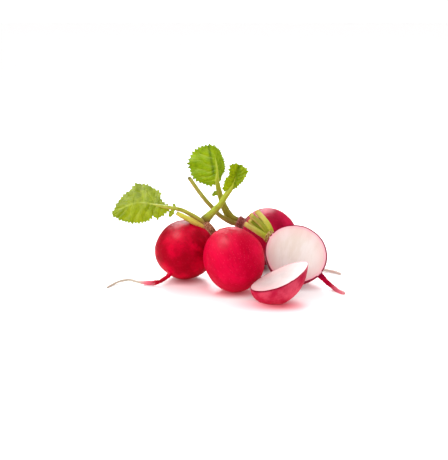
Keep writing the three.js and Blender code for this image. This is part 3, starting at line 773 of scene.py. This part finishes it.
def cutRadish(root):
    # Each ring keeps the arc behind the knife's plane, found by halving the angle between a
    # point in front and one behind; chords between the arc's ends make the cut face.
    line = rootLine(root)
    heart = np.array(root["heart"])
    normal = unit(knife["normal"])
    point = heart + normal * knife["offset"]
    d = rootStations(root, line)
    mid, across, over = line.frameAt(d + line.stations[1], rootSide)
    toward = np.arctan2(over @ normal, across @ normal)

    def beyond(angle):
        places = rootSkin(root, line, d, angle)[0]
        leaving = rise(d, knife["reach"] - knife["runOut"], knife["reach"])
        return (places - point) @ normal - knife["turnBack"] * leaving

    cut = (beyond(toward) > 0) & (d < knife["reach"])

    def edgeAngle(sign):
        low, high = np.zeros_like(d), np.full_like(d, np.pi)
        for _ in range(knife["halvings"]):
            half = (low + high) / 2
            out = beyond(toward + sign * half) > 0
            low, high = np.where(out, half, low), np.where(out, high, half)
        return np.where(cut, low, 0.0)

    first, last = toward + edgeAngle(1), toward + 2 * np.pi - edgeAngle(-1)
    share = np.linspace(0, 1, aroundRoot)[None, :]
    angle = first[:, None] + (last - first)[:, None] * share
    places, values = rootSkin(root, line, np.broadcast_to(d[:, None], angle.shape), angle)
    behind = (point - places) @ normal
    # painted shade on the skin just behind the cut face
    values["shade"] = bruised(knife["bruise"], behind)
    heap = Heap()
    heap.net(places, 0, **values)

    t = np.linspace(0, 1, knife["across"])[None, :, None]
    face = places[:, :1] + (places[:, -1:] - places[:, :1]) * (0.5 - 0.5 * np.cos(np.pi * t))
    rows = np.flatnonzero(cut)
    rows = np.arange(rows[0] - 1, rows[-1] + 2)
    rim = np.concatenate([places[rows, 0], places[rows, -1]])
    distance = rimDistance(face, rim)
    axes = [unit(mid[-knife["tailRings"]] - mid[0]), unit(np.cross(normal, [0, 0, 1])), normal]
    grain = (face - heart) @ np.stack(axes).T
    heap.net(face, 1, rim=distance, grain=grain)
    cutPiece(heap, root, {"name": "halfFlesh"})


cutRadish(halfRadish)

sliceCut = {
    "name": "radishSlice", "node": "cut_slice",
    "face": [24.9, -44.8, 11.4], "normal": [-0.388, -0.1, 0.92], "foot": [24.0, -45.0, -0.6],
    "rim": [[3, 11.6], [14, 13.2], [22, 14.1], [30, 13.8], [42, 12.8], [60, 11.8], [80, 10.8],
            [103, 10.2], [128, 11.3], [148, 13.1], [160, 14.5], [168, 14.9], [178, 14.2],
            [190, 12.8], [205, 11.1], [230, 8.9], [264, 7.6], [298, 7.3], [335, 8.8]],
    "turnStep": 1.5, "rows": 90, "faceRings": 60,  # degrees, and rings of the side and face
    "seed": 14, "power": [2.2, 0.3, 0.25],  # of the superellipse, and its lean right and back
    # painted shade on the side below the cut face: shares, and the depths where each starts and
    # stops fading
    "bruise": [[0.65, 0.15, 0.9], [0.2, 0.5, 8.0]],
    "look": {**skinLook, "name": "sliceSkin", "deep": (190, 24, 60), "bright": (222, 76, 100),
             # the second tint on the next line is painted shade for the side below the cut
             "dark": (160, 4, 44), "bruise": (104, 0, 30), "prick": 0.2},
    "fleshLook": {"name": "sliceFlesh", "stainWidth": 1.3, "skinWidth": 0.3, "thread": 0.25,
                  "cream": (193, 174, 172), "white": (202, 184, 182),
                  "glassy": (192, 182, 178), "stain": (226, 170, 178)},
}


def slicePiece(cut):
    # The rim is given by its radius in each direction on the face; from there every side runs
    # down to the foot by a superellipse, fuller on the right than on the left.
    normal = unit(cut["normal"])
    right = unit(np.cross([0, 1, 0], normal))
    back = np.cross(normal, right)
    face, foot = np.array(cut["face"]), np.array(cut["foot"])
    degrees = np.arange(0, 360, cut["turnStep"])
    given = np.array(cut["rim"], float)
    radius = np.interp(degrees, given[:, 0], given[:, 1], period=360)
    for shift in (1, 2, 3, 2, 1):  # rounds off the corners between the given directions
        radius = (np.roll(radius, shift) + 2 * radius + np.roll(radius, -shift)) / 4
    turn, down = np.meshgrid(np.radians(degrees), np.linspace(0, np.pi / 2, cut["rows"]))
    level = right * np.cos(turn)[..., None] + back * np.sin(turn)[..., None]
    middle, rightward, backward = cut["power"]
    power = 2 / (middle * np.exp(rightward * np.cos(turn) + backward * np.sin(turn)))
    h = np.clip(np.cos(down), 0, 1)**power
    v = np.clip(np.sin(down), 0, 1)**power
    places = face + level * (radius * h)[..., None] + (foot - face) * v[..., None]
    away = 0.1 * ripple(places, 9.0, cut["seed"]) + 0.03 * ripple(places, 2.5, cut["seed"] + 1)
    places = places + level * (away * rise(down, 0.0, 0.3) * h)[..., None]
    places[..., 2] = np.maximum(places[..., 2], 0.0)
    axes = np.stack([back, right, normal]).T
    # painted shade, darkest just below the cut face
    shade = bruised(cut["bruise"], (face - places) @ normal)
    heap = Heap()
    heap.net(places, 0, closed=True, grain=(places - face) @ axes, shade=shade)
    ring = places[0]
    t = np.linspace(1, 0, cut["faceRings"])[:, None, None]**0.8
    disc = face + (ring - face)[None] * t
    heap.net(disc, 1, closed=True, rim=rimDistance(disc, ring), grain=(disc - face) @ axes)
    cutPiece(heap, cut, cut["fleshLook"])


slicePiece(sliceCut)
print("cut radish and slice made")


stalkLook = {
    "lower": (176, 172, 70), "upper": (158, 170, 48), "pale": (206, 206, 120),
    "deep": (120, 132, 24), "flush": (196, 132, 92), "flushShare": 0.35,
    # the hollow tint on the next line is green inside and painted shade of a stub's opening
    "foot": (168, 112, 84), "footLength": 0.12, "hollow": (108, 116, 0),
    "end": (150, 130, 90), "endLength": 0.02, "endShare": 0.8,
    "rough": 0.42, "gloss": 0.08, "bumpDepth": 0.09, "sinking": [0.2, (0.6, 0.8, 0.2), 1.0],
}
leafLook = {
    # fold is painted shade beside the rib
    "deep": (112, 130, 0), "bright": (148, 160, 10), "fold": (72, 106, 0),
    "net": (160, 172, 24), "vein": (178, 188, 62), "veinShare": 0.45,
    "margin": (104, 112, 40), "under": (146, 160, 70),
    "rough": 0.5, "gloss": 0.05, "bumpDepth": 0.1, "sinking": [0.3, (0.5, 0.9, 0.15), 0.8],
}
stalkSide = (-0.25, 0.55, 1.0)
aroundStalk = 22


def grooved(angle, share):
    # Half-round stalk: a groove along its upper side and faint ribs all round.
    groove = 1 - 0.22 * np.maximum(0, np.cos(angle))**3
    return groove * (1 + 0.018 * np.cos(9 * angle) + 0.01 * np.cos(14 * angle + 3 * share))


def footed(angle, share):
    # The same, widened at the foot where it grips the crown.
    return grooved(angle, share) * (1 + 0.22 * np.exp(-share / 0.05))


def bladeAxes(blade):
    # Foot of the blade and its square axes: along the rib, across it and out of its face.
    out = unit(blade["out"])
    along = np.array(blade["along"], float)
    along = unit(along - out * (along @ out))
    return np.array(blade["base"], float), along, np.cross(along, out), out


bladeForm = {            # millimetres; of two, the second is taken off towards the margin
    "thickness": (0.5, 0.24), "veinWidth": (0.34, 0.2), "veinDepth": 0.14, "ribWidth": 0.4,
    "puff": 0.2, "soft": 0.07, "softLength": 3.4,
}


def toothedFlat(blade, t, s):
    # The blade laid flat: its rib, and a net of points from margin to margin over it. Each
    # tooth climbs and drops like a saw's, and every one has its own size.
    rib = outline(blade["rib"], t)[0]
    saw = 1 - np.abs(2 * ((t * blade["teeth"]) % 1) - 1)
    which = np.floor(t * blade["teeth"] - 1e-6).astype(int)
    sizes = np.random.default_rng(blade["teeth"]).uniform(0.4, 1.3, blade["teeth"] + 1)
    tooth = blade["toothDepth"] * (1.35 * saw**1.2 * sizes[which] - 0.3 * rise(t, 0, 0.05))
    halves = []
    for key, way in (("left", -1), ("right", 1)):
        edge, ahead = outline(blade[key], t)
        edge = edge + np.stack([-ahead[:, 1], ahead[:, 0]], axis=-1) * (way * tooth)[:, None]
        halves.append(rib[:, None] + (edge - rib)[:, None] * s[None, :, None])
    return rib, np.concatenate([halves[0][:, :0:-1], halves[1]], axis=1)


def veined(blade, t, s, length, flat):
    # Strength of the veins, and of the puff between them. Veins stand where q is whole: evenly
    # along the rib, slanting outwards, a little wavy.
    size = np.abs(s)
    q = blade["veins"] * (t - blade["slant"] * size**1.15) + 0.25 * np.sign(s)
    q = q + 0.16 * ripple(flat, 6.0, 31)
    apart = np.abs(q - np.round(q)) / blade["veins"] * length
    wide, less = bladeForm["veinWidth"]
    reachOut = (1 - rise(size, 0.75, 1.0)) * rise(t * length, 0.3, 1.6)
    vein = np.exp(-(apart / (wide - less * size))**2) * reachOut
    return vein, np.sin(np.pi * q)**2 * rise(size, 0.02, 0.25) * (1 - rise(size, 0.8, 1.0))


def twoSkins(heap, top, under, topOut, **values):
    # Two skins and a rim that joins them all round; the one that faces inwards is the under.
    shape, count = top.shape[:2], top[..., 0].size
    net = np.arange(count).reshape(shape)
    loop = np.concatenate([net[0], net[1:, -1], net[-1, -2::-1], net[-2:0:-1, 0]])
    ahead = np.roll(loop, -1)
    rim = np.stack([loop, ahead, ahead + count, loop + count], axis=-1)
    faces = netFaces(*shape)
    faces = np.concatenate([faces, faces + count, rim]) + heap.count
    places = np.concatenate([top.reshape(-1, 3), under.reshape(-1, 3)])
    values = {name: np.tile(value.reshape(count, -1), (2, 1)) for name, value in values.items()}
    heap.loose(places, faces, under=np.repeat([0, 1] if topOut else [1, 0], count), **values)


def bladeNet(heap, blade, rowsPerTooth=10, cells=24):
    # The flat blade with each half turned back by its fold and the whole lifted; it puffs up
    # between its veins and ruffles towards its margin. Shares of the rib's length are t, and
    # shares of the way from rib to margin s.
    base, along, across, out = bladeAxes(blade)
    t = np.linspace(0, 1, blade["teeth"] * rowsPerTooth + 1)
    s = np.linspace(0, 1, cells + 1)**0.9
    rib, flat = toothedFlat(blade, t, s)
    t, s = t[:, None], np.concatenate([-s[:0:-1], s])[None, :]
    size = np.abs(s)
    u, v = flat[..., 0], flat[..., 1]
    grain = np.stack([u, v, np.zeros_like(u)], axis=-1)
    folds = np.radians(np.where(s < 0, blade["fold"][0], blade["fold"][1]))
    reach = v - rib[:, None, 1]
    height = blade["lift"](u, v) - np.abs(reach) * np.sin(folds)
    vein, puff = veined(blade, t, s, np.ptp(rib[:, 0]), grain)
    ruffle = rise(size, 0.45, 1.0) * np.sin(2 * np.pi * (t * blade["ruffles"] + 0.2 * s))
    place = base + along * u[..., None]
    place = place + across * (rib[:, None, 1] + reach * np.cos(folds))[..., None]
    soft = bladeForm["soft"] * ripple(place, bladeForm["softLength"], 21)
    fine = blade["relief"] * (bladeForm["puff"] * puff - bladeForm["veinDepth"] * vein)
    place = place + out * (height + (fine + blade["ruffle"] * ruffle + soft))[..., None]
    normal = unit(np.cross(np.gradient(place, axis=1), np.gradient(place, axis=0)) + 1e-9)
    thick, less = bladeForm["thickness"]
    half = normal * (0.5 * (thick - less * size**2)[..., None])
    ribLine = np.exp(-(np.abs(reach) / bladeForm["ribWidth"])**2)
    ribLine = ribLine * (1 - rise(t, blade["ribEnd"] - 0.3, blade["ribEnd"]))
    # a band of painted shade beside the rib, from low on the blade up
    shade = rise(-np.abs(reach - blade["shadeAt"]), -blade["shadeWidth"], 0) * blade["shade"]
    twoSkins(heap, place + half, place - half, np.sum(normal * out, axis=-1).mean() > 0,
             vein=np.clip(0.5 * vein + ribLine, 0, 1), edge=size + 0 * t, grain=grain,
             shade=shade * rise(t, 0.1, 0.3))


ribThickness = np.array([[0.25, 0.58], [0.5, 0.42], [0.72, 0.3], [0.9, 0.2]])  # share, radius


def ribPath(blade):
    # The stalk's path goes on under the rib, sunk by about a third of its radius.
    base, along, across, out = bladeAxes(blade)
    share, radius = ribThickness.T
    flat = outline(blade["rib"], share)[0]
    high = blade["lift"](flat[:, 0], flat[:, 1]) - 0.35 * radius
    places = base + along * flat[:, :1] + across * flat[:, 1:] + out * high[:, None]
    return np.column_stack([places, radius]).tolist()


plainBlade = {"veins": 7, "slant": 0.2, "relief": 1.0, "ruffles": 6, "shade": 0.0, "shadeAt": 0.0,
              "shadeWidth": 1.0, "ribEnd": 1.1}


def leaflet(base, along, length, out=(0, -1, 0.2)):
    # A small blade: a lens shape about two thirds as wide as long.
    wide = 0.32 * length
    return {
        **plainBlade, "base": base, "along": along, "out": out,
        "rib": [[-0.9, 0], [0.5 * length, 0], [length, 0]],
        "left": [[-0.9, -0.4], [0.4 * length, -wide], [length, -0.2]],
        "right": [[-0.9, 0.4], [0.4 * length, wide], [length, 0.2]],
        "teeth": 3, "toothDepth": 0.25, "fold": [12, 12], "lift": lambda u, v: -0.05 * u**2,
        "veins": 3, "relief": 0.3, "ruffle": 0.05, "ruffles": 2, "shade": 0.3,
    }


leftLeaf = {
    "name": "leftLeaf", "node": "left_leaf",
    "stalk": [[-9.0, -8.4, 25.6, 1.35], [-15.2, -11.8, 30.8, 1.1], [-19.7, -13.2, 33.5, 1.05],
              [-25.8, -15.2, 35.3, 0.95]],
    "blade": {
        **plainBlade, "base": [-25.5, -15.2, 35.2], "along": [-0.985, -0.17, 0],
        "out": [0, -0.766, 0.643],
        "rib": [[0, 0], [4.5, 1.5], [8.5, 2.8], [14.5, 4], [20, 3], [26.2, 0.2]],
        "left": [[0, -0.8], [1.4, -2.4], [4.2, -4], [6, -4.8], [6.6, -2], [8.4, -4], [10.4, -5.2],
                 [15.3, -5.4], [21, -3.8], [26, -0.4]],
        "right": [[0, 0.8], [1.6, 2.4], [3.5, 5.2], [3.5, 9.2], [7.7, 12.9], [13.2, 16],
                  [16.4, 12.8], [20.7, 9.8], [23.4, 5.8], [26.3, 0.9]],
        "teeth": 21, "toothDepth": 0.75, "fold": [10, 10], "slant": 0.22, "ruffle": 0.25,
        "lift": lambda u, v: (-0.006 * (u - 8)**2 - 0.004 * v**2
                              + 0.3 * np.sin(0.9 * u) * (v / 9)**2),
    },
    "leaflets": [leaflet([-22.6, -14.2, 34.8], [-0.45, 0.2, 1], 2.0),
                 leaflet([-23.4, -15.5, 34.0], [-0.55, -0.4, -0.85], 3.6, (0, -0.9, 0.3))],
    "stalkLook": {}, "leafLook": {},
}
youngLeaf = {
    "name": "youngLeaf", "node": "left_young_leaf",
    "stalk": [[-8.7, -7.6, 27.6, 2.1], [-6.6, -8.8, 30.1, 2.0], [-4.1, -9.8, 32.75, 1.7],
              [-1.6, -10.6, 35.8, 1.5], [1.3, -11, 40.6, 1.4], [3.3, -11, 43.2, 1.1]],
    "blade": {
        **plainBlade, "base": [3.2, -11, 43], "along": [0.3, -0.05, 1], "out": [-0.1, -0.98, 0.15],
        "rib": [[0, 0.4], [3.4, 0.4], [8, 0.4], [11.8, 0.2]],
        "left": [[-0.4, -0.6], [-1.4, -3.7], [0.6, -4], [2.4, -4.1], [4.4, -3.9], [5, -2.9],
                 [7, -3.3], [9.6, -3.7], [11.2, -3.2], [11.9, -0.6]],
        "right": [[0.2, 1.3], [2.6, 3.1], [5, 4.6], [8.4, 5.4], [10, 5.6], [11.4, 3.8], [12, 1.2]],
        "teeth": 12, "toothDepth": 0.65, "fold": [-25, -25], "veins": 6, "slant": 0.25,
        "ruffle": 0.15, "ruffles": 4, "lift": lambda u, v: 0.008 * u**2 + 0.01 * v**2,
        "shadeAt": 0.6, "shadeWidth": 2.2, "shade": 0.6, "ribEnd": 0.5,
    },
    "leaflets": [leaflet([2.6, -11, 42.2], [-1, 0, 0.35], 1.9)],
    "stalkLook": {"foot": (96, 60, 40), "footLength": 0.13, "lower": (160, 172, 50),
                  "upper": (168, 176, 50), "flushShare": 0.15},
    "leafLook": {"deep": (108, 130, 0), "bright": (150, 168, 6), "vein": (176, 188, 50)},
}
backLeaf = {
    "name": "backLeaf", "node": "back_leaf",
    "stalk": [[8.4, 12.6, 20.7, 1.9], [4.8, 12.6, 22.1, 2.15], [1.75, 13.2, 25.1, 2.05],
              [-0.35, 12.8, 29.6, 1.6], [-2.4, 12.0, 36.4, 1.35], [-3.4, 10.9, 42.4, 1.15]],
    "blade": {
        **plainBlade, "base": [-3.4, 10.6, 42], "along": [-0.1, -0.1, 1], "out": [-0.2, -0.97, 0.1],
        "rib": [[0, 0], [3, 0.3], [7, 0.2], [11.7, -0.7], [17.2, -1.7]],
        "left": [[-1, -0.9], [-2, -4.6], [-1.2, -7.4], [0.8, -11], [4.8, -13.8], [10, -14.2],
                 [13.9, -12.4], [16.6, -8.2], [17.4, -4.2], [17.4, -2.4]],
        "right": [[0.2, 0.8], [1.8, 3.6], [4.8, 6.2], [7.4, 6.6], [11.6, 5.2], [14.8, 3],
                  [17.2, -0.9]],
        "teeth": 19, "toothDepth": 0.95, "fold": [8, 64],
        "lift": lambda u, v: -0.006 * u**2 + 0.3 * np.sin(0.8 * u) * (v / 9)**2,
        "ruffle": 0.2, "shadeAt": -2.0, "shadeWidth": 1.3, "shade": 0.9, "ribEnd": 0.6,
    },
    "leaflets": [leaflet([-2.9, 11.6, 36.6], [-1, -0.1, -0.75], 3.7),
                 leaflet([-3.0, 11.0, 41.6], [0.7, 0, 1], 2.4)],
    "stalkLook": {"lower": (132, 120, 30), "foot": (92, 62, 36), "upper": (166, 182, 46),
                  "flushShare": 0.15},
    "leafLook": {"deep": (104, 136, 0), "bright": (140, 166, 6)},
}


def leafPieces(leaf):
    # One piece for the stalk and its rib, one for the blade and its leaflets.
    heap = Heap()
    path = [*leaf["stalk"], *ribPath(leaf["blade"])]
    tube(heap, path, stalkSide, aroundStalk, 150, shape=footed)
    look = {**stalkLook, **leaf["stalkLook"], "name": leaf["name"] + "StalkGreen"}
    stalk = heap.piece(leaf["name"] + "Stalk", [stalkFinish(look)])
    heap = Heap()
    bladeNet(heap, leaf["blade"])
    for small in leaf["leaflets"]:
        bladeNet(heap, small, rowsPerTooth=8, cells=5)
    look = {**leafLook, **leaf["leafLook"], "name": leaf["name"] + "Green"}
    green = heap.piece(leaf["name"] + "Blade", [leafFinish(look)], sharp=70)
    settled(stalk, leaf["node"])
    settled(green, leaf["node"])


for leaf in (leftLeaf, youngLeaf, backLeaf):
    leafPieces(leaf)
print("leaves made")

trimmed = {
    "leftCutStalk": {
        "node": "left_cut_stalk",
        "paths": [[[-9.9, -12.6, 24.8, 1.45], [-12.9, -14.0, 27.2, 1.4], [-15.8, -14.6, 29.2, 1.4],
                   [-19.7, -14.8, 31.3, 1.25], [-21.8, -14.8, 32.5, 1.0]]],
        "look": {"lower": (204, 172, 78), "upper": (198, 194, 72), "flushShare": 0.4},
    },
    "backCutStalk": {
        "node": "back_cut_stalk",
        "paths": [[[8.4, 10.2, 20.4, 1.3], [4.5, 10.6, 20.8, 1.45], [1.2, 9.8, 22.7, 1.4],
                   [-2.5, 9.7, 25.2, 1.2], [-6.1, 8.8, 29.4, 1.15], [-10.3, 8.0, 34.6, 1.1],
                   [-17.0, 6.0, 44.8, 0.95]]],
        "look": {"lower": (128, 110, 40), "upper": (166, 166, 66), "end": (86, 78, 48),
                 "endLength": 0.035},
    },
    "frontStubs": {
        "node": "front_stalk_stubs",
        "paths": [[[0.4, -17.7, 22.0, 1.25], [-1.2, -13.9, 23.4, 1.2], [-1.7, -12.3, 23.6, 1.1]],
                  [[0.4, -17.3, 21.6, 1.25], [1.4, -12.9, 22.6, 1.2], [1.7, -11.1, 22.8, 1.1]],
                  [[-0.2, -17.5, 21.2, 1.2], [-0.6, -12.5, 21.0, 1.1], [-0.8, -10.3, 20.6, 1.0]]],
        "look": {"endLength": 0.1},
    },
    "halfStubs": {
        "node": "half_stalk_stubs",
        "paths": [[[22.4, -13.4, 20.6, 1.6], [20.0, -11.8, 26.7, 1.6], [15.6, -8.4, 31.6, 1.45]],
                  [[21.8, -14.0, 20.4, 1.6], [17.6, -12.2, 26.1, 1.5], [12.4, -9.6, 30.4, 1.2]],
                  [[21.4, -14.0, 20.6, 1.4], [17.0, -12.6, 24.1, 1.35], [12.0, -10.0, 27.8, 1.2]],
                  [[21.3, -14.8, 19.9, 1.6], [16.3, -13.6, 23.0, 1.55], [10.0, -10.8, 26.2, 1.3]]],
        # shares of green inside and painted shade of each stub's opening
        "hollows": [0.0, 0.6, 1.0, 0.25],
        "look": {"lower": (170, 180, 40), "upper": (198, 184, 92), "foot": (158, 104, 60),
                 "footLength": 0.2, "end": (200, 140, 84), "endLength": 0.05},
    },
}


def trimmedStalks(name, settings):
    # Grooved tubes with blunt ends, one for each path; a hollow one is greener and darker along its
    # upper side, partly the green inside of the stalk and partly painted shade of its opening.
    heap = Heap()
    hollows = settings.get("hollows", [0.0] * len(settings["paths"]))
    for path, hollow in zip(settings["paths"], hollows):
        steps = 24 + int(Line(path).length * 2.2)
        tube(heap, path, stalkSide, aroundStalk, steps, 0.25, grooved, hollow=hollow)
    look = {**stalkLook, **settings["look"], "name": name + "Green"}
    piece = heap.piece(name, [stalkFinish(look)])
    settled(piece, settings["node"])


for name, settings in trimmed.items():
    trimmedStalks(name, settings)
print("trimmed stalks made")
